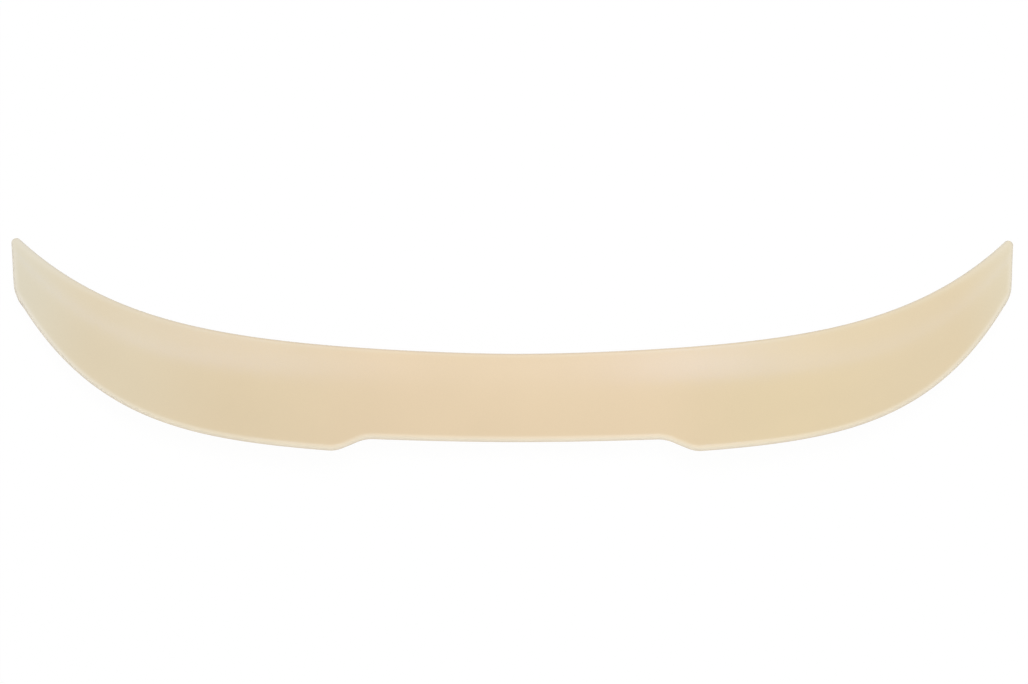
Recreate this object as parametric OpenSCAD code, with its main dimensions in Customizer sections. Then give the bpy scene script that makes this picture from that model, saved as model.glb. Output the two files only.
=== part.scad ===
// Boot lid lip spoiler: one open-backed moulding in unpainted plastic.
// Millimetres. +X right, +Y towards the windscreen, +Z up, the foot on Z = 0.
// The origin is the middle of the outline seen from above, on the bottom.
//
// The upper face is a grid of stations across the car (index i) and rows from
// the leading edge to the trailing edge (index j). Its rim turns over in a
// rolled lip all the way round and runs down a wall to the boot lid.
// The same solid, drawn a wall's thickness further in, hollows the moulding.

/* [Plan outline] */
// Half of the overall width
half_width = 600; // [500:700]
// Centre chord, from the notched trailing edge to the leading edge
centre_chord = 116; // [90:150]
// Depth of the centre notch ahead of the wing line
notch_depth = 24; // [15:40]
// Extra depth of the notch line where the slopes begin
notch_bow = 3.8; // [0:6]
// Half width of the straight part of the notch
notch_half = 172; // [120:260]
// Run of each notch slope across the car
notch_run = 33; // [24:60]
// Half length of the blends at both ends of a notch slope
notch_blend = 9; // [4:12]
// Sweep of the leading edge: broad part at the tips
lead_broad = 57; // [30:90]
// Sweep of the leading edge: late part at the tips
lead_late = 104; // [60:140]
// Sweep of the trailing edge: broad part at the tips
trail_broad = 46; // [30:80]
// Sweep of the trailing edge: late part at the tips
trail_late = 194.5; // [140:220]
// Lean of the end line, in degrees from straight ahead
end_lean = 8.5; // [0:12]
// Radius of the pointed tip in plan
tip_radius = 6; // [5:8]
// Radius of the rear corner in plan
corner_radius = 50; // [35:60]

/* [Height] */
// Height the face would reach at the trailing edge without its rolled rim
kick_height = 54; // [40:65]
// The same height at the ends
tip_height = 13; // [10:20]
// How late along the wing the trailing edge drops to the tip
kick_power = 3; // [2:5]
// Thickness at the leading edge
front_height = 4.8; // [4.6:6]
// Rise of the crowned boot lid under the leading edge at the centre
lid_rise = 12; // [0:20]
// Share of the height gained evenly from front to rear
even_share = 0.1; // [0:0.3]
// Position of the concave bend at the centre, as a share of the chord
bend_centre = 0.5; // [0.45:0.55]
// Position of the concave bend in the wings
bend_wing = 0.42; // [0.35:0.5]
// Half length of the bend in the wings, as a share of the chord
bend_soft = 0.24; // [0.15:0.35]

/* [Edges and walls] */
// Radius of the rolled rim at the leading edge and the ends
edge_radius = 3.6; // [3.2:4.2]
// Radius of the rolled rim at the centre of the trailing edge
rear_radius = 4.6; // [4:5.5]
// Wall of the moulding
wall = 2.5; // [2:2.8]
// How far the rear foot is set in from the trailing edge
foot_inset = 26; // [16:32]
// Share of the notch depth that the foot follows
notch_follow = 0.5; // [0.3:0.7]
// Width of the inward flange along the foot
flange_width = 14; // [10:16]
// Thickness of the flange
flange_thickness = 3; // [2.4:4]
// Width of the solid land behind the leading edge
land_width = 20; // [16:26]

/* [Ribs] */
// Spacing of the stiffening ribs
rib_pitch = 90; // [80:110]
// Number of ribs on each side of the centre
rib_pairs = 5; // [4:5]
// Thickness of a rib
rib_thickness = 2.2; // [1.8:3]
// Gap between a rib and the boot lid
rib_gap = 4; // [3:6]

/* [Hidden] */
// How far the cutting solids run below the boot lid
cut = 5;
// Usual slope of the face at the trailing edge
rim_angle = 30;
// Facets across the rolled rim, and along half of a tip or a rear corner
roll_steps = 6;
arc_steps = 3;
// Half of the step used to measure a slope
nudge = 0.5;

// Small helpers

// 0 up to d = -w and d from d = w on, with a parabola between
function soft(d, w) = d > w ? d : d < -w ? 0 : (d + w) * (d + w) / (4 * w);
// 0 before a and 1 after b, straight between, with soft ends
function ramp(x, a, b, w) = (soft(x - a, w) - soft(x - b, w)) / (b - a);
function unit(v) = v / norm(v);
function dir(a) = [cos(a), sin(a)];
function angle_of(v) = atan2(v[1], v[0]);
function lerp(a, b, s) = a + (b - a) * s;

// Plan outline, right half (x from 0 to half_width)

function wing(x) = let (u = x / half_width) trail_broad * pow(u, 1.5) + trail_late * pow(u, 5.5);
function notch(x) =
    let (inside = 1 - ramp(x, notch_half, notch_half + notch_run, notch_blend),
         line = notch_depth + notch_bow * pow(x / notch_half, 2))
    inside * (line - wing(x));
function trail(x) = wing(x) + notch(x);
function lead(x) =
    let (u = x / half_width)
    notch_depth + centre_chord + lead_broad * pow(u, 1.7) + lead_late * pow(u, 5);

// Outward normals of the two edges and of the straight end line
function out_lead(x) = x < nudge ? [0, 1] : unit([lead(x - nudge) - lead(x + nudge), 2 * nudge]);
function out_trail(x) = x < nudge ? [0, -1] : unit([trail(x + nudge) - trail(x - nudge), -2 * nudge]);
out_end = dir(-end_lean);

// Where an arc touches both an edge and the end line: the arc's centre lies
// its own radius inside the end line, which bisection finds
end_point = [half_width, lead(half_width)];
function lead_centre(x) = [x, lead(x)] - tip_radius * out_lead(x);
function trail_centre(x) = [x, trail(x)] - corner_radius * out_trail(x);
function from_end(p) = out_end * (end_point - p);
function touch(at_tip, a, b, n = 24) =
    let (m = (a + b) / 2,
         gap = at_tip ? from_end(lead_centre(m)) - tip_radius : from_end(trail_centre(m)) - corner_radius)
    n == 0 ? m : gap > 0 ? touch(at_tip, m, b, n - 1) : touch(at_tip, a, m, n - 1);
x_tip = touch(true, half_width - 80, half_width);
x_corner = touch(false, half_width - 120, half_width);

// Stations of the right half, close together at the notch and at the end
slope_from = notch_half - notch_blend;
slope_to = notch_half + notch_run + notch_blend;
main_x = concat(
    [for (k = [0:7]) slope_from * k / 8],
    [for (k = [0:8]) lerp(slope_from, slope_to, k / 8)],
    [for (k = [1:20]) lerp(slope_to, half_width, 1 - pow(1 - k / 20, 1.25))]);

// An outline entry holds its plan point, its outward normal and its share u of
// the half width
function entry(point, out, u) = [point, out, u];
function point_of(e) = e[0];
function out_of(e) = e[1];
function u_of(e) = e[2];
function arc(centre, radius, a, b, first) =
    [for (k = [first:arc_steps]) let (n = dir(lerp(a, b, k / arc_steps))) entry(centre + radius * n, n, 1)];

// Angles of the normal where the edges meet their arcs and half way round
tip_from = angle_of(out_lead(x_tip));
tip_mid = (tip_from - end_lean) / 2;
corner_to = angle_of(out_trail(x_corner));
corner_mid = (corner_to - end_lean) / 2;
tip_centre = lead_centre(x_tip);
corner_centre = trail_centre(x_corner);

front_half = concat(
    [for (x = main_x) let (u = x / half_width, q = u * x_tip) entry([q, lead(q)], out_lead(q), u)],
    arc(tip_centre, tip_radius, tip_from, tip_mid, 1));
rear_half = concat(
    [for (x = main_x) let (u = x / half_width, q = lerp(x, u * x_corner, pow(u, 5)))
        entry([q, trail(q)], out_trail(q), u)],
    arc(corner_centre, corner_radius, corner_to, corner_mid, 1));
straight_from = tip_centre + tip_radius * out_end;
straight_to = corner_centre + corner_radius * out_end;
end_line = concat(
    arc(tip_centre, tip_radius, tip_mid, -end_lean, 0),
    [for (k = [1:4]) entry(lerp(straight_from, straight_to, k / 5), out_end, 1)],
    arc(corner_centre, corner_radius, -end_lean, corner_mid, 0));
rows = len(end_line) - 1;
half_count = len(front_half) - 1;
stations = 2 * half_count;

// Heights over the foot, from the place in plan

function lid(u) = lid_rise * (1 - u * u);
function top_of(u) = lerp(kick_height, tip_height, pow(u, kick_power));
// Share of the kick gained at the share t of the chord, from the leading edge
function profile(u, t) =
    let (m = ramp(u, 0.2, 0.6, 0.1),
         b = lerp(bend_centre, bend_wing, m),
         w = lerp(1 - bend_centre, bend_soft, m))
    even_share * t + (1 - even_share) * soft(t - b, w) / (1 - b);
function height(x, y) =
    let (q = abs(x), u = q / half_width, t = (lead(q) - y) / (lead(q) - wing(q)))
    lerp(front_height, top_of(u), profile(u, t)) + lid(u) * (1 - t);
function slope_of(p) =
    [height(p[0] + nudge, p[1]) - height(p[0] - nudge, p[1]),
     height(p[0], p[1] + nudge) - height(p[0], p[1] - nudge)] / (2 * nudge);

// Grid of the upper face, which stops inside the outline by the rim's own width

function radius_at(u, j) = j == rows ? lerp(rear_radius, edge_radius, u * u) : edge_radius;
function inset_at(u, j) =
    j == rows ? radius_at(u, j) * (1 + sin(rim_angle) * (1 - pow(u, kick_power))) : edge_radius;
function inside(e, j) = point_of(e) - inset_at(u_of(e), j) * out_of(e);
// Rows lie closer together at both edges
function share(j) = j / rows - sin(360 * j / rows) / 10;
half_grid = [for (i = [0:half_count]) [for (j = [0:rows])
    i == half_count
        ? point_of(end_line[j]) - edge_radius * out_of(end_line[j])
        : lerp(inside(front_half[i], 0), inside(rear_half[i], rows), share(j))]];
function side_of(i) = i < half_count ? -1 : 1;
function grid(i, j) =
    let (p = half_grid[abs(i - half_count)][j])
    [side_of(i) * p[0], p[1], height(p[0], p[1])];

// The grid's border, once round: leading edge, right end, trailing edge, left end
border = concat(
    [for (i = [0:stations]) [i, 0]],
    [for (j = [1:rows]) [stations, j]],
    [for (i = [stations - 1:-1:0]) [i, rows]],
    [for (j = [rows - 1:-1:1]) [0, j]]);
function border_index(i, j) =
    j == 0 ? i
    : i == stations ? stations + j
    : j == rows ? 2 * stations + rows - i
    : 2 * stations + 2 * rows - j;
function on_border(i, j) = i == 0 || i == stations || j == 0 || j == rows;
function border_entry(i, j) =
    let (k = abs(i - half_count))
    k == half_count ? end_line[j] : j == 0 ? front_half[k] : rear_half[k];
// How far the rim's foot stands in from the outline
function set_at(i, j) =
    let (e = border_entry(i, j), u = u_of(e))
    j == rows && u < 1
        ? foot_inset * (1 - pow(u, kick_power)) - notch_follow * notch(point_of(e)[0])
        : 0;
function base_at(i, j) = j == 0 ? lid(u_of(border_entry(i, j))) : 0;

// One column of points down the rim, for a solid that lies d inside the outer
// skin and ends a height lift above the boot lid: round the roll from the face
// to the line that touches it and meets the foot, then down that line
function column(i, j, d, lift) =
    let (v = grid(i, j), e = border_entry(i, j),
         n = [side_of(i) * out_of(e)[0], out_of(e)[1]],
         tilt = atan(slope_of(v) * n), r = radius_at(u_of(e), j),
         c = v + r * [sin(tilt) * n[0], sin(tilt) * n[1], -cos(tilt)],
         base = base_at(i, j), foot = [r - set_at(i, j), base - c[2]],
         last = angle_of(foot) + acos(min(1, r / norm(foot))),
         turn = [for (k = [0:roll_steps]) let (a = lerp(90 + tilt, last, k / roll_steps))
             c + (r - d) * [cos(a) * n[0], cos(a) * n[1], sin(a)]],
         p = turn[roll_steps], run = sin(last) * (p[2] - base - lift) / cos(last))
    concat(turn, [[p[0] + run * n[0], p[1] + run * n[1], base + lift]]);
levels = roll_steps + 2;

// Closed solid under the upper face
module skin(d, lift) {
    rim = [for (b = border) column(b[0], b[1], d, lift)];
    inner = [for (i = [1:stations - 1]) for (j = [1:rows - 1])
        let (p = grid(i, j), g = slope_of(p)) p - d * unit([-g[0], -g[1], 1])];
    // The floor creases where the flat foot ends and the crowned lid begins
    crease = [for (i = [1:stations - 1]) let (p = rim[border_index(i, rows)][levels - 1])
        [p[0], p[1] + flange_width + 4, lift]];
    first_inner = len(border) * levels;
    function top(i, j) = on_border(i, j)
        ? border_index(i, j) * levels
        : first_inner + (i - 1) * (rows - 1) + j - 1;
    function low(i, j) = (border_index(i, j) + 1) * levels - 1;
    function mid(i) = first_inner + len(inner) + i - 1;
    // Two triangles for a quad whose corners are given clockwise from outside
    function quad(a, b, c, d) = [[a, b, c], [a, c, d]];
    face = [for (i = [0:stations - 1]) for (j = [0:rows - 1])
        each i < half_count
            ? quad(top(i, j), top(i + 1, j), top(i + 1, j + 1), top(i, j + 1))
            : quad(top(i, j + 1), top(i, j), top(i + 1, j), top(i + 1, j + 1))];
    sides = [for (k = [0:len(border) - 1]) for (l = [0:levels - 2])
        each let (a = k * levels + l, b = (k + 1) % len(border) * levels + l)
            quad(b, a, a + 1, b + 1)];
    floor_strips = [for (i = [1:stations - 2]) each concat(
        quad(low(i, 0), mid(i), mid(i + 1), low(i + 1, 0)),
        quad(mid(i), low(i, rows), low(i + 1, rows), mid(i + 1)))];
    last = stations - 1;
    floor_ends = concat(
        [for (j = [0:rows - 1]) each
            [[mid(last), low(stations, j + 1), low(stations, j)], [mid(1), low(0, j), low(0, j + 1)]]],
        [[mid(last), low(stations, 0), low(last, 0)], [mid(last), low(last, rows), low(stations, rows)]],
        [[mid(1), low(1, 0), low(0, 0)], [mid(1), low(0, rows), low(1, rows)]]);
    polyhedron(
        concat([for (c = rim) each c], inner, crease),
        concat(face, sides, floor_strips, floor_ends),
        convexity = 10);
}

// Where the rim meets the boot lid, seen from above
outline = [for (b = border) let (p = column(b[0], b[1], 0, 0)[levels - 1]) [p[0], p[1]]];
every_y = [for (b = border) for (p = column(b[0], b[1], 0, 0)) p[1]];
mid_y = (min(every_y) + max(every_y)) / 2;
// Room for solids that reach past the moulding on every side
beyond = 2 * (half_width + kick_height);

module tall() {
    translate([0, 0, -beyond / 2])
        linear_extrude(beyond) children();
}

// Ribs stand on the flange and clear the boot lid ahead of it
module ribs() {
    intersection() {
        skin(wall / 2, -cut);
        for (k = [-rib_pairs:rib_pairs]) {
            q = abs(k * rib_pitch);
            back = wing(q) - 5;
            flange_end = wing(q) + foot_inset + flange_width;
            hull() {
                translate([k * rib_pitch - rib_thickness / 2, back, flange_thickness / 2])
                    cube([rib_thickness, flange_end - back, 2 * kick_height]);
                translate([k * rib_pitch - rib_thickness / 2, lead(q), lid(q / half_width) + rib_gap])
                    cube([rib_thickness, 1, 2 * kick_height]);
            }
        }
    }
}

// The hollow stops at the front land, and narrows at the flange
module hollow() {
    intersection() {
        skin(wall, -cut);
        translate([0, -land_width])
            tall() polygon(outline);
        union() {
            tall() offset(delta = -flange_width) polygon(outline);
            translate([-beyond / 2, -beyond / 2, flange_thickness])
                cube(beyond);
        }
    }
}

module spoiler() {
    color([0.89, 0.82, 0.69])
        translate([0, -mid_y, 0]) {
            difference() {
                skin(0, 0);
                hollow();
            }
            ribs();
        }
}

spoiler();
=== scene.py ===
"""A boot lid lip spoiler in unpainted plastic, seen from above and behind.

Lengths are in metres in the frame of the CAD part: +X to the right, +Y forwards, +Z up.
"""
import math

import bmesh
import bpy
import numpy as np
from bpy.props import FloatProperty, FloatVectorProperty, IntProperty, PointerProperty, StringProperty
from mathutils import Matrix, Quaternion, Vector


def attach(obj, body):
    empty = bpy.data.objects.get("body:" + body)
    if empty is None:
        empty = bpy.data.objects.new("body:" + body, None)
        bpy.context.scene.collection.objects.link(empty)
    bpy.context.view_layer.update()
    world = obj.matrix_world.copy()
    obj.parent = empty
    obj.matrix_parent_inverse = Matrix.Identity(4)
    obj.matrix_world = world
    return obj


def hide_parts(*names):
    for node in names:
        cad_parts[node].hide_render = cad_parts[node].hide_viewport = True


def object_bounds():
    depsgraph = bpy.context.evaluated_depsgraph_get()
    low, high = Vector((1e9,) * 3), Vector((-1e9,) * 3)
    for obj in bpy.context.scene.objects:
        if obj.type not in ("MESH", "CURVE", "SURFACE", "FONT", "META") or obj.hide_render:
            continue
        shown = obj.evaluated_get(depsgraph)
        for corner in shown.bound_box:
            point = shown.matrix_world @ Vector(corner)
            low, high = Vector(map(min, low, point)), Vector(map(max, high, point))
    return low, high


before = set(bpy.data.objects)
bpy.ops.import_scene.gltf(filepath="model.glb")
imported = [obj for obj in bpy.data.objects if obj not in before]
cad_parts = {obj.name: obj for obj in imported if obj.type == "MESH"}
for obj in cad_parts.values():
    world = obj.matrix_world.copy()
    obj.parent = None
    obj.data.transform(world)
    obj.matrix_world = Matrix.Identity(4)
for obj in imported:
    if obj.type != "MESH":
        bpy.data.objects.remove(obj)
CAD_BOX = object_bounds()

bl_info = {
    "name": "Boot lid lip spoiler",
    "version": (1, 0, 0),
    "blender": (4, 5, 0),
    "location": "View3D > Sidebar > Lip spoiler",
    "description": "Builds a one-piece plastic lip spoiler with its stage, lamps and camera",
    "category": "Object",
}

MM = 0.001
# The finer surface is laid this far inside the solid, so that it stays in its box
HAIR = 0.08 * MM
# Half step of the central differences
NUDGE = 0.5 * MM
# Blanks that cut the moulding run this far past what they cut
CUT = 5 * MM
# How far the floor of a solid runs flat past the flange, before it rises to the leading edge
CREASE = 4 * MM
# Least room between the opening at the lid and the flange at the ends
END_ROOM = 8 * MM
# Smooth shading breaks where the surface turns by more than this
SHARP = math.radians(40)
# Mesh attributes: share of the painted highlight on the rolled rim, and share of the painted shade line on
# the leading edge
RIM_HIGHLIGHT = "rim"
FRONT_SHADE_LINE = "front_line"
# Width of the camera's sensor, in millimetres
SENSOR = 36
# Lamps in metres and watts: name, place, what it points at, width and length, power
WINDOWS = (
    ("window_left", (-0.63, 1.15, 2.5), (-0.63, 1.15, 0.0), (0.26, 1.0), 3.0),
    ("window_right", (0.56, 1.15, 2.5), (0.56, 1.15, 0.0), (0.18, 1.1), 5.0))
WIDE_LAMPS = (
    ("fill_above", (0.25, 0.4, 2.7), (0.0, 0.0, 0.0), (2.4, 1.6), 42.0),
    ("fill_behind", (0.5, -2.5, 0.8), (0.0, 0.0, 0.0), (2.6, 0.7), 9.0),
    ("fill_left", (-2.6, -1.2, 0.6), (0.0, 0.0, 0.0), (1.6, 0.6), 7.0))


# Sizes and colours a user would change

def length(name, description, millimetres):
    return FloatProperty(name=name, description=description, default=millimetres * MM, unit="LENGTH")


def degrees(name, description, value):
    return FloatProperty(name=name, description=description, default=math.radians(value), subtype="ANGLE")


def share_of(name, description, value):
    return FloatProperty(
        name=name, description=description, default=value, min=0.0, max=1.0, subtype="FACTOR")


def number(name, description, value):
    return FloatProperty(name=name, description=description, default=value)


def colour(name, description, code):
    return StringProperty(name=name, description=description + ", as an sRGB hex value", default=code)


class LipShapeSettings(bpy.types.PropertyGroup):
    """Sizes of the moulding"""

    half_width: length("Half width", "Half of the overall width", 600)
    centre_chord: length("Centre chord", "From the notched trailing edge to the leading edge", 116)
    notch_depth: length("Notch depth", "Depth of the centre notch ahead of the wing line", 24)
    notch_bow: length("Notch bow", "Extra depth of the notch line where its slopes begin", 3.8)
    notch_half: length("Notch half width", "Half width of the straight part of the notch", 172)
    notch_run: length("Notch run", "Run of each notch slope across the car", 33)
    notch_blend: length("Notch blend", "Half length of the blends at the ends of a slope", 9)
    lead_broad: length("Leading sweep, broad", "Broad part of the leading edge's sweep", 57)
    lead_late: length("Leading sweep, late", "Late part of the leading edge's sweep", 104)
    trail_broad: length("Trailing sweep, broad", "Broad part of the trailing edge's sweep", 46)
    trail_late: length("Trailing sweep, late", "Late part of the trailing edge's sweep", 194.5)
    end_lean: degrees("End lean", "Lean of the end line from straight ahead", 8.5)
    tip_radius: length("Tip radius", "Radius of the pointed tip in plan", 6)
    corner_radius: length("Corner radius", "Radius of the rear corner in plan", 50)
    kick_height: length("Kick height", "Height the face would reach at the trailing edge", 54)
    tip_height: length("Tip height", "The same height at the ends", 13)
    kick_power: number("Kick power", "How late along the wing the trailing edge drops", 3.0)
    front_height: length("Front height", "Thickness at the leading edge", 4.8)
    lid_rise: length("Lid rise", "Rise of the crowned boot lid under the leading edge", 12)
    even_share: share_of("Even share", "Share of the height gained evenly from front to rear", 0.1)
    bend_centre: share_of("Bend at the centre", "Place of the concave bend on the chord", 0.5)
    bend_wing: share_of("Bend in the wings", "Place of the concave bend on the chord", 0.42)
    bend_soft: share_of("Bend softness", "Half length of the bend in the wings", 0.24)
    edge_radius: length("Edge radius", "Radius of the rolled rim at the front and the ends", 3.6)
    rear_radius: length("Rear radius", "Radius of the rolled rim at the centre of the trailing edge", 4.6)
    rim_angle: degrees("Rim angle", "Usual slope of the face at the trailing edge", 30)
    wall: length("Wall", "Wall of the moulding", 2.5)
    foot_inset: length("Foot inset", "How far the foot is set in from the trailing edge", 26)
    notch_follow: share_of("Notch follow", "Share of the notch depth that the foot follows", 0.5)
    flange_width: length("Flange width", "Width of the inward flange along the foot", 14)
    flange_thickness: length("Flange thickness", "Thickness of that flange", 3)
    land_width: length("Land width", "Width of the solid land behind the leading edge", 20)
    rib_pitch: length("Rib pitch", "Spacing of the ribs", 90)
    rib_pairs: IntProperty(name="Rib pairs", description="Ribs on each side of the centre", default=5)
    rib_thickness: length("Rib thickness", "Thickness of a rib", 2.2)
    rib_gap: length("Rib gap", "Gap between a rib and the boot lid", 4)


class PlasticSettings(bpy.types.PropertyGroup):
    """Look of the unpainted plastic, with painted light at the tips, on the rim and along the leading edge
    """

    # The tint across the part is partly the plastic's own cream and partly painted light: the paler tips
    # paint the light that comes through the thin plastic, and the differences between the left and right
    # stops paint the light that falls on each side
    centre: colour("Centre", "Warm cream of the middle", "E5CFAD")
    left_wing: colour("Left wing", "Cooler cream of the left wing", "E0CDAB")
    left_outer: colour("Left outer wing", "Paler cream near the left tip", "E0D1B3")
    left_tip: colour("Left tip", "Pale cream of the thin left tip, where light comes through", "DED6C0")
    right_wing: colour("Right wing", "Cooler cream of the right wing", "E2CFAA")
    right_outer: colour("Right outer wing", "Paler cream near the right tip", "E0CEAC")
    right_tip: colour("Right tip", "Pale cream of the thin right tip, where light comes through", "E0D4B8")
    # The rim colours are a painted highlight: the light that catches the rolled rim and comes through its
    # thin plastic
    rim_highlight_centre: colour("Rim", "Pale cream of the rolled rim, where light comes through", "EFE6D2")
    rim_highlight_wings: colour("Rim in the wings", "Colour of the rolled rim in both wings", "ECE2CC")
    rim_highlight_left: colour("Rim at the left", "Colour of the rolled rim at the left end", "E9E2D2")
    rim_highlight_right: colour("Rim at the right", "Colour of the rolled rim at the right end", "EAE1CC")
    rim_highlight_reach: length("Rim reach", "How far in from the outline the pale rim fades out", 4)
    # Painted shade: the darker grey line along the feathered leading edge, where it turns away from the
    # light
    front_shade_colour: colour("Line", "Grey of the feathered leading edge, which mirrors the room", "DBD9D4")
    drift_size: length("Drift size", "From patch to patch of the slow drift of shade", 120)
    grain_size: length("Grain size", "Width of the moulded grain as it is drawn", 1.2)
    mottle: share_of("Mottle", "How far the drift and the grain each change the shade", 0.015)
    grain_depth: length("Grain depth", "Depth of the grain at full strength", 0.2)
    grain_strength: share_of("Grain strength", "Share of that depth that shows", 0.03)
    roughness: share_of("Roughness", "Roughness of the satin surface", 0.24)
    roughness_spread: share_of("Roughness spread", "How far the grain changes the roughness", 0.03)
    refraction: number("Refractive index", "Typical index of ABS", 1.53)


class StageSettings(bpy.types.PropertyGroup):
    """Camera, lamps and floor"""

    elevation: degrees("Elevation", "Camera's height angle over the floor", 69.3)
    azimuth: degrees("Azimuth", "Camera's turn round the part from straight behind it", -2.8)
    roll: degrees("Roll", "Turn of the camera about its own axis", 2.73)
    distance: length("Distance", "From the camera to the point it looks at", 3215)
    lens: number("Lens", "Focal length in millimetres on a sensor 36 mm wide", 96.3)
    aim: FloatVectorProperty(
        name="Aim", description="Point that the camera looks at",
        default=(-0.0007, 0.0022, 0.02), subtype="XYZ")
    daylight: number("Daylight", "Strength of the even light from all round", 0.542)
    white: colour("White", "White of the lamps, the background and the floor as it is seen", "FFFFFF")
    window_colour: colour("Window colour", "Bluish light of the windows", "80AAFF")
    bounce_colour: colour("Bounce colour", "Shade that the floor gives to the light it sends up", "E6DCD4")
    paper_glow: share_of("Paper glow", "Share of the seen floor that takes no shadow", 0.97)
    floor_reach: length("Floor reach", "From the middle of the floor to its edges", 6000)


# Outline and height of the moulding, as array functions

class LipShape:
    """The moulding's outer form: its outline in plan, the height of its face and its rolled rim.

    x runs across the car, y forwards from the wing line, u = |x| / half_width is the share of the
    half width and t the share of the chord, 0 at the leading edge and 1 at the trailing wing line.
    """

    def __init__(self, sizes):
        for name in LipShapeSettings.__annotations__:
            setattr(self, name, getattr(sizes, name))
        # Outward normal of the end line, and the outermost point that it goes through
        self.out_end = direction(-self.end_lean)
        self.end_point = np.array([self.half_width, self.lead(self.half_width)])
        # Where the tip's arc leaves the leading edge, and the rear corner's arc the trailing edge
        self.x_tip = self.touch(self.lead, 1, self.tip_radius)
        self.x_corner = self.touch(self.trail, -1, self.corner_radius)

    def soft(self, d, w):
        """0 up to d = -w and d from d = w on, with the parabola (d + w)^2 / 4w between."""
        return np.where(d > w, d, np.where(d < -w, 0.0, (d + w) ** 2 / (4 * w)))

    def ramp(self, x, a, b, w):
        """0 before a, 1 after b and straight between, with soft ends of half length w."""
        return (self.soft(x - a, w) - self.soft(x - b, w)) / (b - a)

    def wing(self, x):
        """Trailing edge without its notch: a broad sweep with u^1.5 and a late one with u^5.5."""
        u = x / self.half_width
        return self.trail_broad * u ** 1.5 + self.trail_late * u ** 5.5

    def notch(self, x):
        """How far the notch cuts in: down a soft ramp from a slightly bowed line to the wing line."""
        inside = 1 - self.ramp(x, self.notch_half, self.notch_half + self.notch_run, self.notch_blend)
        line = self.notch_depth + self.notch_bow * (x / self.notch_half) ** 2
        return inside * (line - self.wing(x))

    def trail(self, x):
        """Trailing edge: the wing line plus the notch."""
        return self.wing(x) + self.notch(x)

    def lead(self, x):
        """Leading edge: the centre chord ahead of the notch, with sweeps of u^1.7 and u^5."""
        u = x / self.half_width
        return self.notch_depth + self.centre_chord + self.lead_broad * u ** 1.7 + self.lead_late * u ** 5

    def normal(self, edge, side, x):
        """Outward unit normal of an edge y = edge(x), from its central difference."""
        x = np.asarray(x, float)
        rise = edge(x + NUDGE) - edge(np.abs(x - NUDGE))
        return unit(np.stack([-side * rise, side * 2 * NUDGE * np.ones_like(x)], -1))

    def arc_centre(self, edge, side, radius, x):
        """Centre of an arc that touches an edge at x: one radius in along the normal there."""
        return np.array([x, float(edge(x))]) - radius * self.normal(edge, side, x)

    def touch(self, edge, side, radius):
        """Where an arc touches an edge and the end line, found by halving the range forty times.

        The arc's centre lies one radius inside the end line.
        """
        low = 0.8 * self.half_width
        high = self.half_width
        for _ in range(40):
            middle = (low + high) / 2
            centre = self.arc_centre(edge, side, radius, middle)
            if self.out_end @ (self.end_point - centre) > radius:
                low = middle
            else:
                high = middle
        return middle

    def inside_by(self, x, y):
        """Distances in from the leading edge, and from the nearer of the others.

        An edge's distance is the gap to it along Y times the Y share of its normal.
        """
        q = np.abs(x)
        front = (self.lead(q) - y) * self.normal(self.lead, 1, q)[..., 1]
        rear = (y - self.trail(q)) * -self.normal(self.trail, -1, q)[..., 1]
        end = self.out_end @ self.end_point - (self.out_end[0] * q + self.out_end[1] * y)
        return np.maximum(0, front), np.maximum(0, np.minimum(rear, end))

    def lid(self, u):
        """Crowned boot lid under the leading edge: a parabola across the car."""
        return self.lid_rise * (1 - u * u)

    def top_of(self, u):
        """Height of the kicked-up trailing edge, falling to the tip with u^kick_power."""
        return lerp(self.kick_height, self.tip_height, u ** self.kick_power)

    def profile(self, u, t):
        """Share of the kick gained at t: a small even part, and a soft bend.

        The bend's place and length go from the centre's to the wing's between u = 0.2 and u = 0.6.
        """
        m = self.ramp(u, a=0.2, b=0.6, w=0.1)
        b = lerp(self.bend_centre, self.bend_wing, m)
        w = lerp(1 - self.bend_centre, self.bend_soft, m)
        return self.even_share * t + (1 - self.even_share) * self.soft(t - b, w) / (1 - b)

    def height(self, x, y):
        """Height of the face over the foot: front height to kick by profile, plus the lid's rise."""
        q = np.abs(x)
        u = q / self.half_width
        t = (self.lead(q) - y) / (self.lead(q) - self.wing(q))
        return lerp(self.front_height, self.top_of(u), self.profile(u, t)) + self.lid(u) * (1 - t)

    def slope(self, x, y):
        """Gradient of the height in plan, from central differences."""
        along_x = self.height(x + NUDGE, y) - self.height(x - NUDGE, y)
        along_y = self.height(x, y + NUDGE) - self.height(x, y - NUDGE)
        return np.stack([along_x, along_y], -1) / (2 * NUDGE)


def unit(v):
    """Vectors of length 1 in the directions of v."""
    return v / np.linalg.norm(v, axis=-1, keepdims=True)


def direction(angle):
    """Unit vectors in plan at angles from +X."""
    return np.stack([np.cos(angle), np.sin(angle)], -1)


def angle_of(v):
    """Angles of vectors in plan from +X."""
    return np.arctan2(v[..., 1], v[..., 0])


def lerp(a, b, s):
    """Value at share s of the way from a to b."""
    return a + (b - a) * s


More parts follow.
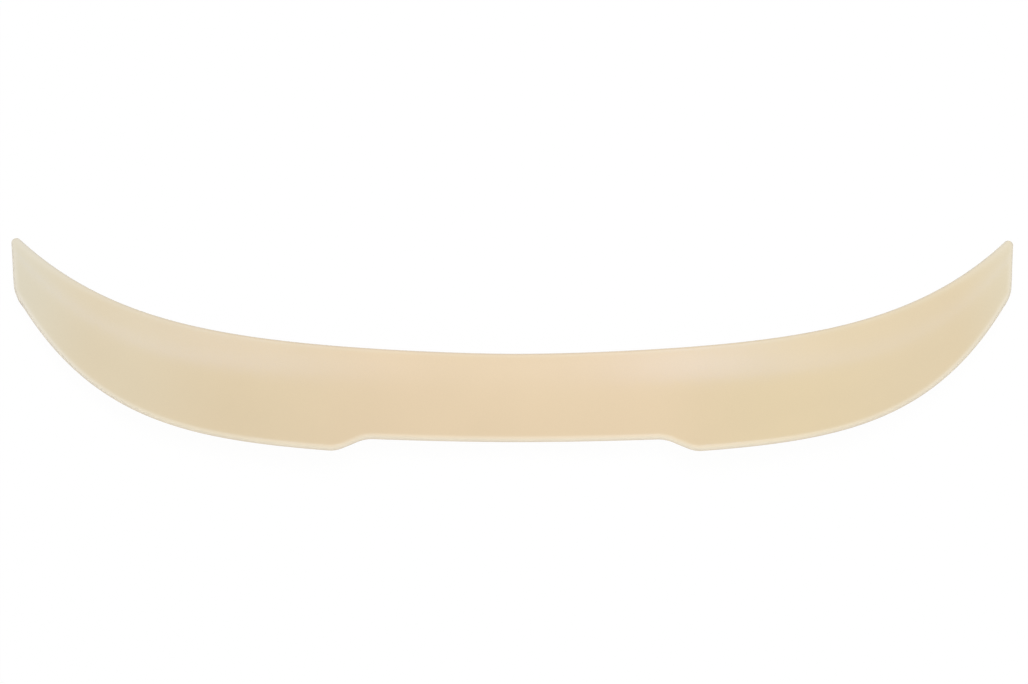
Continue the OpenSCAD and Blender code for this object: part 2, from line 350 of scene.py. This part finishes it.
class LipGrid:
    """The face as a grid of stations across the car and rows from front to rear, at any density.

    Arrays are indexed [station, row]. The border goes once round: leading edge, right end,
    trailing edge and left end.
    """

    def __init__(self, shape, wing_stations, middle_rows, arc_steps):
        self.shape = shape
        x = self.across(wing_stations)
        self.u = np.concatenate([x / shape.half_width, np.ones(arc_steps)])
        self.front, self.rear, self.end = self.edges(x, middle_rows, arc_steps)
        self.rows = len(self.end[0]) - 1
        self.half = len(self.u) - 1
        self.stations = 2 * self.half
        self.rear_r = lerp(shape.rear_radius, shape.edge_radius, self.u ** 2)
        self.plan = self.face_plan()
        self.border = self.trace_border()

    def across(self, wing_stations):
        """Stations of the right half: even in the notch and on its slope, and closer towards the tip."""
        s = self.shape
        slope_from = s.notch_half - s.notch_blend
        slope_to = s.notch_half + s.notch_run + s.notch_blend
        notch_stations = wing_stations // 3
        late = 1 - (1 - np.arange(1, wing_stations + 1) / wing_stations) ** 1.25
        return np.concatenate([
            np.linspace(0, slope_from, notch_stations, endpoint=False),
            np.linspace(slope_from, slope_to, notch_stations, endpoint=False),
            [slope_to],
            lerp(slope_to, s.half_width, late)])

    def edges(self, x, middle_rows, arc_steps):
        """Points and normals of the right half's front, rear and end.

        The front and the rear follow their edge up to its arc and then half of that arc. The end
        goes from the middle of the tip's arc, down the end line, to the middle of the corner's.
        """
        s = self.shape
        u = x / s.half_width
        # Angles of the normal where the edges meet the two arcs, and half way round each
        tip_from = angle_of(s.normal(s.lead, 1, s.x_tip))
        corner_to = angle_of(s.normal(s.trail, -1, s.x_corner))
        tip_mid = (tip_from - s.end_lean) / 2
        corner_mid = (corner_to - s.end_lean) / 2
        tip = (s.arc_centre(s.lead, 1, s.tip_radius, s.x_tip), s.tip_radius)
        corner = (s.arc_centre(s.trail, -1, s.corner_radius, s.x_corner), s.corner_radius)

        # Front points are scaled to end at the tip's arc, and rear ones move in only near the corner's
        front_x = u * s.x_tip
        rear_x = lerp(x, u * s.x_corner, u ** 5)
        front = self.join(
            (np.stack([front_x, s.lead(front_x)], -1), s.normal(s.lead, 1, front_x)),
            self.arc(tip, tip_from, tip_mid, arc_steps, skip=1))
        rear = self.join(
            (np.stack([rear_x, s.trail(rear_x)], -1), s.normal(s.trail, -1, rear_x)),
            self.arc(corner, corner_to, corner_mid, arc_steps, skip=1))
        tip_arc = self.arc(tip, tip_mid, -s.end_lean, arc_steps)
        corner_arc = self.arc(corner, -s.end_lean, corner_mid, arc_steps)
        steps = np.linspace(0, 1, middle_rows + 2)[1:-1, None]
        straight = lerp(tip_arc[0][-1], corner_arc[0][0], steps)
        end = self.join(tip_arc, (straight, np.tile(s.out_end, (middle_rows, 1))), corner_arc)
        return front, rear, end

    def join(self, *runs):
        """Points and normals of several runs, one after another."""
        points, normals = zip(*runs)
        return np.concatenate(points), np.concatenate(normals)

    def arc(self, circle, a, b, steps, skip=0):
        """Points on a circle with their normals, from angle a to angle b, without the first few."""
        centre, radius = circle
        n = direction(np.linspace(a, b, steps + 1))[skip:]
        return centre + radius * n, n

    def face_plan(self):
        """The face's grid in plan: its edges moved in by their rolls, and rows closer near them.

        The face rises to the rear, so the roll's centre there lies further out than the border over
        it, which is moved in by up to 1 + sin(rim_angle) of the radius. The row at share j of all
        rows stands at j - sin(2 pi j) / 10 of the chord.
        """
        s = self.shape
        j = np.arange(self.rows + 1) / self.rows
        share = j - np.sin(2 * np.pi * j) / 10
        rear_inset = self.rear_r * (1 + math.sin(s.rim_angle) * (1 - self.u ** s.kick_power))
        a = self.front[0] - s.edge_radius * self.front[1]
        b = self.rear[0] - rear_inset[:, None] * self.rear[1]
        half = lerp(a[:, None], b[:, None], share[None, :, None])
        half[-1] = self.end[0] - s.edge_radius * self.end[1]
        # Mirror the right half to the left, without its centre line
        return np.concatenate([half[:0:-1] * [-1, 1], half])

    def trace_border(self):
        """Station and row of each border point, with its normal, radius, foot set and base height."""
        s = self.shape
        st, rows, half = self.stations, self.rows, self.half
        along = np.arange(st + 1)
        down = np.arange(1, rows + 1)
        i = np.concatenate([along, np.full(rows, st), along[-2::-1], np.zeros(rows - 1, int)])
        j = np.concatenate([np.zeros(st + 1, int), down, np.full(st, rows), down[-2::-1]])
        k = np.abs(i - half)
        is_end = k == half
        is_front = j == 0
        is_rear = (j == rows) & ~is_end
        point, out = (
            np.where(is_end[:, None], end[j], np.where(is_front[:, None], front[k], rear[k]))
            for end, front, rear in zip(self.end, self.front, self.rear))
        side = np.where(i < half, -1.0, 1.0)
        out = out * np.stack([side, np.ones_like(side)], -1)
        u = self.u[k]
        radius = np.where(j == rows, self.rear_r[k], s.edge_radius)
        inwards = s.foot_inset * (1 - u ** s.kick_power) - s.notch_follow * s.notch(point[:, 0])
        foot = np.where(is_rear, inwards, 0.0)
        base = np.where(is_front, s.lid(u), 0.0)
        return {"i": i, "j": j, "out": out, "radius": radius, "foot": foot, "base": base}

    def skin(self, inside=0.0, lift=0.0, roll_steps=12):
        """Closed solid under the face, a distance inside the outer skin, down to lift over the lid.

        The face moves along its normals by that distance. From its border each column goes round a
        roll, whose centre lies one radius along the face's normal, until it touches the straight
        line to the foot, and then down that line. A floor closes the solid: flat along the foot and
        ruled from there to the leading edge.
        """
        s, b = self.shape, self.border
        x, y = self.plan[..., 0], self.plan[..., 1]
        g = s.slope(x, y)
        top = np.stack([x, y, s.height(x, y)], -1)
        face = top - inside * unit(np.concatenate([-g, np.ones(g.shape[:2] + (1,))], -1))

        # Centre of each roll, and the angle at which it touches the line to the foot
        out = b["out"]
        tilt = np.arctan((g[b["i"], b["j"]] * out).sum(-1))
        r = b["radius"]
        inwards = np.column_stack([np.sin(tilt)[:, None] * out, -np.cos(tilt)])
        centre = top[b["i"], b["j"]] + r[:, None] * inwards
        foot = np.stack([r - b["foot"], b["base"] - centre[:, 2]], -1)
        last = angle_of(foot) + np.arccos(np.minimum(1, r / np.linalg.norm(foot, axis=-1)))

        turn = lerp((np.pi / 2 + tilt)[:, None], last[:, None], np.linspace(0, 1, roll_steps + 1))
        spoke = np.concatenate([np.cos(turn)[..., None] * out[:, None], np.sin(turn)[..., None]], -1)
        roll = centre[:, None] + (r - inside)[:, None, None] * spoke
        end = roll[:, -1]
        run = np.sin(last) * (end[:, 2] - b["base"] - lift) / np.cos(last)
        low = np.column_stack([end[:, :2] + run[:, None] * out, b["base"] + lift])
        return self.close(face, np.concatenate([roll, low[:, None]], 1), lift)

    def close(self, face, columns, lift):
        """Vertices and faces of the solid made of a face grid, its border columns and a floor."""
        st, rows = self.stations, self.rows
        i, j = self.border["i"], self.border["j"]
        count, levels = columns.shape[:2]
        first = np.arange(count) * levels

        index = np.empty((st + 1, rows + 1), int)
        index[i, j] = first
        inner = face[1:-1, 1:-1].reshape(-1, 3)
        index[1:-1, 1:-1] = count * levels + np.arange(len(inner)).reshape(st - 1, rows - 1)
        top = np.stack([index[:-1, :-1], index[:-1, 1:], index[1:, 1:], index[1:, :-1]], -1)

        k = first[:, None] + np.arange(levels - 1)
        q = np.roll(k, -1, axis=0)
        sides = np.stack([k, q, q + 1, k + 1], -1)

        # The floor: ruled from the leading edge to a crease past the flange, and flat from there
        low = np.full((st + 1, rows + 1), -1)
        low[i, j] = first + levels - 1
        # The border comes along the trailing edge from the right, after the front and the right end
        rear_low = columns[2 * st + rows - np.arange(1, st), -1]
        crease = rear_low + [0, self.shape.flange_width + CREASE, 0]
        crease[:, 2] = lift
        mid = count * levels + len(inner) + np.arange(st - 1)
        front = low[1:-1, 0]
        rear = low[1:-1, rows]
        floor = np.concatenate([
            np.stack([front[:-1], front[1:], mid[1:], mid[:-1]], -1),
            np.stack([mid[:-1], mid[1:], rear[1:], rear[:-1]], -1)])
        right = np.stack([low[st, 1:], low[st, :-1], np.full(rows, mid[-1])], -1)[:, ::-1]
        left = np.stack([low[0, :-1], low[0, 1:], np.full(rows, mid[0])], -1)[:, ::-1]
        corners = np.array([
            [low[st, 0], mid[-1], low[st - 1, 0]], [mid[-1], low[st, rows], low[st - 1, rows]],
            [mid[0], low[0, 0], low[1, 0]], [low[0, rows], mid[0], low[1, rows]]])
        points = np.concatenate([columns.reshape(-1, 3), inner, crease])
        quads = np.concatenate([top.reshape(-1, 4), sides.reshape(-1, 4), floor])
        triangles = np.concatenate([right, left, corners])
        return points, quads.tolist() + triangles.tolist()


# Meshes

def new_mesh(name, points, faces):
    """Object with a mesh of these points and faces, whose normals point outwards."""
    mesh = bpy.data.meshes.new(name)
    mesh.from_pydata(points.tolist(), [], faces)
    bm = bmesh.new()
    bm.from_mesh(mesh)
    bmesh.ops.recalc_face_normals(bm, faces=bm.faces)
    bm.to_mesh(mesh)
    bm.free()
    obj = bpy.data.objects.new(name, mesh)
    bpy.context.scene.collection.objects.link(obj)
    return obj


def extrude(name, near, far):
    """Closed solid between two outlines whose points go in pairs."""
    n = len(near)
    k = np.arange(n)
    q = (k + 1) % n
    sides = np.stack([k, q, q + n, k + n], -1).tolist()
    return new_mesh(name, np.concatenate([near, far]), sides + [k.tolist(), (k + n).tolist()])


def prism(name, outline, low, high):
    """Upright prism over an outline in plan, from one height to another."""
    near, far = (np.column_stack([outline, np.full(len(outline), z)]) for z in (low, high))
    return extrude(name, near, far)


def combine(obj, other, operation):
    """Boolean of two closed meshes, which uses up the second one."""
    step = obj.modifiers.new(operation.title(), "BOOLEAN")
    step.operation = operation
    step.solver = "MANIFOLD"
    step.object = other
    bake(obj)
    bpy.data.objects.remove(other)
    return obj


def bake(obj):
    """Apply the object's modifiers to its mesh."""
    graph = bpy.context.evaluated_depsgraph_get()
    mesh = bpy.data.meshes.new_from_object(obj.evaluated_get(graph))
    obj.modifiers.clear()
    old = obj.data
    obj.data = mesh
    bpy.data.meshes.remove(old)


def copy_of(obj, name):
    """Second object with a mesh of its own."""
    twin = obj.copy()
    twin.data = obj.data.copy()
    twin.name = name
    bpy.context.scene.collection.objects.link(twin)
    return twin


def coordinates(mesh):
    """Places of a mesh's vertices, one row each."""
    values = np.empty(len(mesh.vertices) * 3)
    mesh.vertices.foreach_get("co", values)
    return values.reshape(-1, 3)


# Materials

def linear(code):
    """Linear colour of an sRGB hex value."""
    c = np.array([int(code[k:k + 2], 16) for k in (0, 2, 4)]) / 255
    value = np.where(c <= 0.04045, c / 12.92, ((c + 0.055) / 1.055) ** 2.4)
    return (*value.tolist(), 1.0)


def new_material(name):
    """Material with an empty node tree, and that tree."""
    material = bpy.data.materials.new(name)
    material.use_nodes = True
    material.node_tree.nodes.clear()
    return material, material.node_tree


def add(tree, kind, settings=None, **inputs):
    """Add a node with its settings and inputs.

    An input is named with _ for a space, or by i and its number. One given as a socket is linked,
    and any other is set.
    """
    node = tree.nodes.new(kind)
    for name, value in (settings or {}).items():
        setattr(node, name, value)
    for name, value in inputs.items():
        key = int(name[1:]) if name[1:].isdigit() else name.replace("_", " ")
        socket = node.inputs[key]
        if isinstance(value, bpy.types.NodeSocket):
            tree.links.new(value, socket)
        else:
            socket.default_value = value
    return node


def blend(ramp, stops):
    """Set a colour ramp to places along it with their sRGB hex colours, eased between them."""
    ramp.interpolation = "EASE"
    while len(ramp.elements) < len(stops):
        ramp.elements.new(0.5)
    for element, (place, _) in zip(ramp.elements, stops):
        element.position = place
    for element, (_, code) in zip(ramp.elements, stops):
        element.color = linear(code)


def mould_tint(tree, settings, place):
    """Colour of the plastic with painted light: warm in the middle, cooler in the wings and pale at the
    tips.

    The pale tips and the differences between left and right are painted light. Over that lie the painted
    highlight on the rolled rim and the painted shade line on the leading edge.
    """
    across = add(tree, "ShaderNodeSeparateXYZ", Vector=place).outputs["X"]
    ends = {"i1": CAD_BOX[0][0], "i2": CAD_BOX[1][0]}
    share = add(tree, "ShaderNodeMapRange", Value=across, **ends).outputs[0]
    # Tint across the part, with the painted light of the tips and of each side
    face = add(tree, "ShaderNodeValToRGB", Fac=share)
    blend(face.color_ramp, (
        (0.0, settings.left_tip), (0.1, settings.left_outer), (0.24, settings.left_wing),
        (0.4, settings.centre), (0.6, settings.centre), (0.76, settings.right_wing),
        (0.93, settings.right_outer), (1.0, settings.right_tip)))
    # Painted highlight on the rolled rim, with its own stops from end to end
    pale = add(tree, "ShaderNodeValToRGB", Fac=share)
    blend(pale.color_ramp, (
        (0.0, settings.rim_highlight_left), (0.2, settings.rim_highlight_wings), (0.4, settings.rim_highlight_centre),
        (0.6, settings.rim_highlight_centre), (0.8, settings.rim_highlight_wings), (1.0, settings.rim_highlight_right)))
    rim = add(tree, "ShaderNodeAttribute", {"attribute_name": RIM_HIGHLIGHT}).outputs["Fac"]
    rim_highlighted = add(
        tree, "ShaderNodeMix", {"data_type": "RGBA"}, i0=rim,
        i6=face.outputs["Color"], i7=pale.outputs["Color"])
    # Painted shade line along the leading edge
    line = add(tree, "ShaderNodeAttribute", {"attribute_name": FRONT_SHADE_LINE}).outputs["Fac"]
    front_shaded = add(
        tree, "ShaderNodeMix", {"data_type": "RGBA"}, i0=line,
        i6=rim_highlighted.outputs["Result"], i7=linear(settings.front_shade_colour))
    return front_shaded.outputs["Result"]


def natural_abs(settings):
    """Unpainted ABS as it leaves the mould.

    It is cream and a little see-through: the light that comes through the thin tips and catches the rolled
    rim is painted into its colour, so they look paler than the thick middle, and its satin skin spreads a
    light into a soft patch.
    """
    material, tree = new_material("natural_abs_moulded")
    place = add(tree, "ShaderNodeTexCoord").outputs["Object"]
    tint = mould_tint(tree, settings, place)

    # Slow drift of the shade from patch to patch, as the plastic flowed
    drift = add(tree, "ShaderNodeTexNoise", Vector=place, Scale=1 / settings.drift_size, Detail=2.0)
    # Moulded grain: the real one is about 0.3 mm, drawn 1.2 mm wide so that it shows
    grain = add(tree, "ShaderNodeTexNoise", Vector=place, Scale=1 / settings.grain_size, Detail=2.0)
    # Each noise mostly stays between 0.3 and 0.7, which is spread over the mottle
    mottle = {"i1": 0.3, "i2": 0.7, "i3": 1 - settings.mottle, "i4": 1 + settings.mottle}
    slow = add(tree, "ShaderNodeMapRange", Value=drift.outputs["Fac"], **mottle)
    fine = add(tree, "ShaderNodeMapRange", Value=grain.outputs["Fac"], **mottle)
    shade = add(
        tree, "ShaderNodeMath", {"operation": "MULTIPLY"}, i0=slow.outputs[0], i1=fine.outputs[0])
    shaded = add(
        tree, "ShaderNodeVectorMath", {"operation": "SCALE"}, i0=tint, Scale=shade.outputs[0])
    bump = add(
        tree, "ShaderNodeBump", Height=grain.outputs["Fac"],
        Strength=settings.grain_strength, Distance=settings.grain_depth)
    gloss = add(
        tree, "ShaderNodeMapRange", Value=grain.outputs["Fac"],
        i3=settings.roughness - settings.roughness_spread,
        i4=settings.roughness + settings.roughness_spread)
    shader = add(
        tree, "ShaderNodeBsdfPrincipled", Base_Color=shaded.outputs[0],
        Roughness=gloss.outputs["Result"], Normal=bump.outputs["Normal"], IOR=settings.refraction)
    add(tree, "ShaderNodeOutputMaterial", Surface=shader.outputs["BSDF"])
    return material


def white_floor(stage):
    """Matt white paper.

    Seen directly it is plain white with a faint shadow, and the light that it sends up to the part
    is a little darker and warmer.
    """
    material, tree = new_material("white_paper_floor")
    paper = add(tree, "ShaderNodeBsdfDiffuse", Color=linear(stage.white))
    glow = add(tree, "ShaderNodeEmission", Color=linear(stage.white), Strength=1.0)
    seen = add(
        tree, "ShaderNodeMixShader", i0=stage.paper_glow, i1=paper.outputs[0], i2=glow.outputs[0])
    bounce = add(tree, "ShaderNodeBsdfDiffuse", Color=linear(stage.bounce_colour))
    is_seen = add(tree, "ShaderNodeLightPath").outputs["Is Camera Ray"]
    both = add(tree, "ShaderNodeMixShader", i0=is_seen, i1=bounce.outputs[0], i2=seen.outputs[0])
    add(tree, "ShaderNodeOutputMaterial", Surface=both.outputs[0])
    return material


# Operators

def settings_of(context):
    """The sizes, the plastic's look and the stage."""
    return context.scene.lip_shape, context.scene.lip_plastic, context.scene.lip_stage


class LIP_OT_moulding(bpy.types.Operator):
    """Build the one-piece moulding: smooth outer skin, hollow back, flanged foot, land and ribs"""

    bl_idname = "lip.moulding"
    bl_label = "Moulding"

    def execute(self, context):
        sizes, plastic, _ = settings_of(context)
        shape = LipShape(sizes)
        fine = LipGrid(shape, wing_stations=150, middle_rows=36, arc_steps=8)
        points, faces = fine.skin(HAIR)
        lip = new_mesh("lip_moulding", points, faces)
        self.hollow_out(lip, shape)
        self.mark_painted_light(lip.data, shape, plastic.rim_highlight_reach)
        self.place(lip.data, (points[:, 1].min() + points[:, 1].max()) / 2)
        self.smooth(lip.data)
        lip.data.materials.clear()
        lip.data.materials.append(natural_abs(plastic))
        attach(lip, "root")
        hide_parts("spoiler")
        return {"FINISHED"}

    def hollow_out(self, lip, shape):
        """Hollow the solid from below and set the ribs across it.

        The hollow is the same form drawn one wall further in, on a coarser grid. At the flange it
        narrows to the throat, and above the flange it goes on to the land.
        """
        coarse = LipGrid(shape, wing_stations=60, middle_rows=14, arc_steps=4)
        room = 2 * shape.half_width
        hollow = new_mesh("hollow", *coarse.skin(shape.wall, -CUT, roll_steps=5))
        above = copy_of(hollow, "hollow_above_flange")
        throat = prism("throat", self.throat(shape), -room, room)
        combine(hollow, throat, "INTERSECT")
        behind = prism("behind_land", self.land_edge(shape, room), shape.flange_thickness, room)
        combine(above, behind, "INTERSECT")
        combine(lip, hollow, "DIFFERENCE")
        combine(lip, above, "DIFFERENCE")

        # The ribs run half a wall into the shell
        core = new_mesh("rib_core", *coarse.skin(shape.wall / 2, -CUT, roll_steps=5))
        combine(core, self.rib_blanks(shape), "INTERSECT")
        combine(lip, core, "UNION")

    def land_line(self, shape):
        """Right half of the front land's rear edge: the leading edge moved back by the land's width."""
        x = np.linspace(0, shape.half_width, 201)
        return np.stack([x, shape.lead(x) - shape.land_width], -1)

    def land_edge(self, shape, room):
        """Plan area behind the front land, which reaches well past the part."""
        half = self.land_line(shape)
        line = np.concatenate([half[:0:-1] * [-1, 1], half])
        corners = [[room, 0.0], [room, -room], [-room, -room], [-room, 0.0]]
        return np.concatenate([line, corners])

    def throat(self, shape):
        """Opening at the lid: the outline of the foot moved in by the flange, cut off at the land."""
        s = shape
        # The foot is followed up to 93% of the half width, and the land closes the opening there
        x = np.linspace(0, 0.93 * s.half_width, 600)
        inward = s.foot_inset * (1 - (x / s.half_width) ** s.kick_power) - s.notch_follow * s.notch(x)
        inward = (inward + s.flange_width)[:, None]
        rear = np.stack([x, s.trail(x)], -1) - inward * s.normal(s.trail, -1, x)
        # At the notch's shoulder this line crosses itself: the loop, where x turns back, is left out
        so_far = np.maximum.accumulate(rear[:, 0])
        to_come = np.minimum.accumulate(rear[::-1, 0])[::-1]
        rear = rear[(rear[:, 0] >= so_far) & (rear[:, 0] <= to_come)]
        limit = s.end_point[0] - s.flange_width - END_ROOM
        rear = rear[rear[:, 0] < limit]
        front = self.land_line(s)
        half = np.concatenate([front[front[:, 0] < limit], rear[::-1]])
        return np.concatenate([half, half[::-1] * [-1, 1]])[:-1]

    def rib_blanks(self, shape):
        """Plates across the hollow: level over the flange, then rising to clear the crowned lid."""
        s = shape
        blanks = None
        for x in np.arange(-s.rib_pairs, s.rib_pairs + 1) * s.rib_pitch:
            q = abs(x)
            back = float(s.wing(q)) - CUT
            bend = float(s.wing(q)) + s.foot_inset + s.flange_width
            front = float(s.lead(q)) + MM
            low = s.flange_thickness / 2
            clear = float(s.lid(q / s.half_width)) + s.rib_gap
            high = 2 * s.kick_height
            side = np.array([[back, low], [bend, low], [front, clear], [front, high], [back, high]])
            near, far = (
                np.column_stack([np.full(len(side), x + e * s.rib_thickness / 2), side]) for e in (-1, 1))
            plate = extrude("rib", near, far)
            blanks = plate if blanks is None else combine(blanks, plate, "UNION")
        return blanks

    def mark_painted_light(self, mesh, shape, reach):
        """Painted light of each vertex, from its distance d in from the outline.

        The painted highlight on the rolled rim is exp(-(d / reach)^2). Along the leading edge it is
        instead a faint painted highlight band around d = reach, (0.2 + 0.3 u^6) exp(-((d / reach - 1) /
        (0.5 + u^6))^2), stronger and wider towards the thin tips, and outside it lies the painted shade
        line, 0.5 exp(-(2 d / reach)^2).
        """
        points = coordinates(mesh)
        front, rest = shape.inside_by(points[:, 0], points[:, 1])
        thin = (points[:, 0] / shape.half_width) ** 6
        # Painted highlight band along the leading edge
        front_highlight = (0.2 + 0.3 * thin) * np.exp(-((front / reach - 1) / (0.5 + thin)) ** 2)
        # Painted highlight on the rolled rim at the rear and the ends
        rim = np.maximum(front_highlight, np.exp(-(rest / reach) ** 2))
        # Painted shade line on the leading edge
        line = 0.5 * np.exp(-(2 * front / reach) ** 2)
        for name, share in ((RIM_HIGHLIGHT, rim), (FRONT_SHADE_LINE, line)):
            attribute = mesh.attributes.new(name, "FLOAT", "POINT")
            attribute.data.foreach_set("value", share.astype(np.float32))

    def place(self, mesh, middle):
        """Move the mesh so that the middle of its outline lies on y = 0."""
        points = coordinates(mesh)
        points[:, 1] -= middle
        mesh.vertices.foreach_set("co", points.ravel())
        mesh.update()

    def smooth(self, mesh):
        """Smooth shading, with sharp edges kept."""
        mesh.polygons.foreach_set("use_smooth", np.ones(len(mesh.polygons), bool))
        mesh.set_sharp_from_angle(angle=SHARP)


class LIP_OT_stage(bpy.types.Operator):
    """Lay the white floor, hang the lamps and set the camera"""

    bl_idname = "lip.stage"
    bl_label = "Stage"

    def execute(self, context):
        _, _, stage = settings_of(context)
        self.floor(stage)
        self.world(context.scene, stage)
        self.lamps(stage)
        self.camera(context.scene, stage)
        context.scene.view_settings.view_transform = "Standard"
        return {"FINISHED"}

    def floor(self, stage):
        """Square of white paper, a hair below the part so that the foot lies clear of it."""
        r = stage.floor_reach
        corners = np.array([[-r, -r, -HAIR], [r, -r, -HAIR], [r, r, -HAIR], [-r, r, -HAIR]])
        floor = new_mesh("floor", corners, [[0, 1, 2, 3]])
        floor.data.materials.append(white_floor(stage))

    def world(self, scene, stage):
        """Even light from all round, which the camera sees as plain white."""
        world = bpy.data.worlds.new("studio")
        scene.world = world
        world.use_nodes = True
        tree = world.node_tree
        tree.nodes.clear()
        is_seen = add(tree, "ShaderNodeLightPath").outputs["Is Camera Ray"]
        level = add(tree, "ShaderNodeMix", {"data_type": "FLOAT"}, i0=is_seen, i2=stage.daylight, i3=1.0)
        back = add(tree, "ShaderNodeBackground", Color=linear(stage.white), Strength=level.outputs[0])
        add(tree, "ShaderNodeOutputWorld", Surface=back.outputs[0])

    def lamps(self, stage):
        """Bluish windows that make the soft patches on the wings, and wide lamps for the level.

        The windows only make reflections, and the wide lamps make none: the world stands in for them.
        """
        for lamp in WINDOWS:
            self.area(*lamp, stage.window_colour).visible_diffuse = False
        for lamp in WIDE_LAMPS:
            self.area(*lamp, stage.white).visible_glossy = False

    def area(self, name, place, target, size, power, code):
        """Rectangular lamp at a place, turned to its target."""
        lamp = bpy.data.lights.new(name, "AREA")
        lamp.shape = "RECTANGLE"
        lamp.size, lamp.size_y = size
        lamp.energy = power
        lamp.color = linear(code)[:3]
        obj = bpy.data.objects.new(name, lamp)
        obj.location = place
        obj.rotation_euler = (Vector(target) - Vector(place)).to_track_quat("-Z", "Y").to_euler()
        bpy.context.scene.collection.objects.link(obj)
        return obj

    def camera(self, scene, stage):
        """Camera at the photograph's viewing angle, turned about its own axis by the roll."""
        camera = bpy.data.cameras.new("camera")
        camera.lens = stage.lens
        camera.sensor_width = SENSOR
        obj = bpy.data.objects.new("camera", camera)
        flat = math.cos(stage.elevation)
        back = Vector((
            math.sin(stage.azimuth) * flat, -math.cos(stage.azimuth) * flat, math.sin(stage.elevation)))
        obj.location = Vector(stage.aim) + stage.distance * back
        level = (-back).to_track_quat("-Z", "Y")
        obj.rotation_euler = (level @ Quaternion((0, 0, 1), stage.roll)).to_euler()
        scene.collection.objects.link(obj)
        scene.camera = obj


class LIP_PT_panel(bpy.types.Panel):
    """Buttons and sizes of the lip spoiler in the 3D view's sidebar"""

    bl_idname = "LIP_PT_panel"
    bl_label = "Lip spoiler"
    bl_space_type = "VIEW_3D"
    bl_region_type = "UI"
    bl_category = "Lip spoiler"

    def draw(self, context):
        layout = self.layout
        layout.operator(LIP_OT_moulding.bl_idname)
        layout.operator(LIP_OT_stage.bl_idname)
        for group in settings_of(context):
            box = layout.box()
            for name in type(group).__annotations__:
                box.prop(group, name)


CLASSES = (LipShapeSettings, PlasticSettings, StageSettings, LIP_OT_moulding, LIP_OT_stage, LIP_PT_panel)


def register():
    for cls in CLASSES:
        bpy.utils.register_class(cls)
    bpy.types.Scene.lip_shape = PointerProperty(type=LipShapeSettings)
    bpy.types.Scene.lip_plastic = PointerProperty(type=PlasticSettings)
    bpy.types.Scene.lip_stage = PointerProperty(type=StageSettings)


def unregister():
    del bpy.types.Scene.lip_stage
    del bpy.types.Scene.lip_plastic
    del bpy.types.Scene.lip_shape
    for cls in reversed(CLASSES):
        bpy.utils.unregister_class(cls)


def main():
    """Build the part and its stage."""
    register()
    bpy.ops.lip.moulding()
    bpy.ops.lip.stage()


if __name__ == "__main__":
    main()
